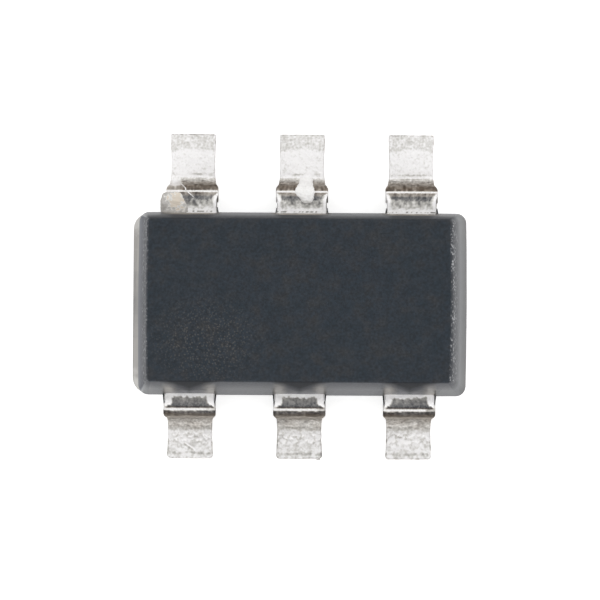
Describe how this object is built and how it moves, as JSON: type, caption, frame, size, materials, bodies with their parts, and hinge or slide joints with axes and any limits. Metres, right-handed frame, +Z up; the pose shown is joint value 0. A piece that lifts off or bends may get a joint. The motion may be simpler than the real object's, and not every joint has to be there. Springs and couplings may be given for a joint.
{
  "type": "buck converter chip",
  "caption": "Step-down converter chip in a small-outline plastic package: drafted black resin body with gull-wing tinned leads along both long sides, standing on their feet.",
  "frame": {"origin": "on the plane that the feet stand on, midway between the toes of the two rows and midway along the body", "axes": "+X along the body, with the lead of the near left corner at -X, +Y across the body from the near row of leads to the far row, +Z up out of the top face"},
  "size_m": [0.0028, 0.0028, 0.0012],
  "materials": {
    "moulding_compound": "filled epoxy moulding compound, satin, finely pitted by the mould",
    "tin_plate": "matte tin plate over a copper alloy strip",
    "silicon": "polished and sawn silicon",
    "silver_adhesive": "cured silver-filled adhesive",
    "gold_wire": "drawn bond wire"
  },
  "bodies": {
    "root": {"mould_body": "moulding_compound", "lead_1": "tin_plate", "lead_2": "tin_plate", "lead_3": "tin_plate", "lead_4": "tin_plate", "lead_5": "tin_plate", "lead_6": "tin_plate", "silicon_die": "silicon", "die_attach": "silver_adhesive", "wire_1": "gold_wire", "wire_2a": "gold_wire", "wire_2b": "gold_wire", "wire_3": "gold_wire", "wire_4": "gold_wire", "wire_5a": "gold_wire", "wire_5b": "gold_wire", "wire_6a": "gold_wire", "wire_6b": "gold_wire"}
  },
  "joints": []
}
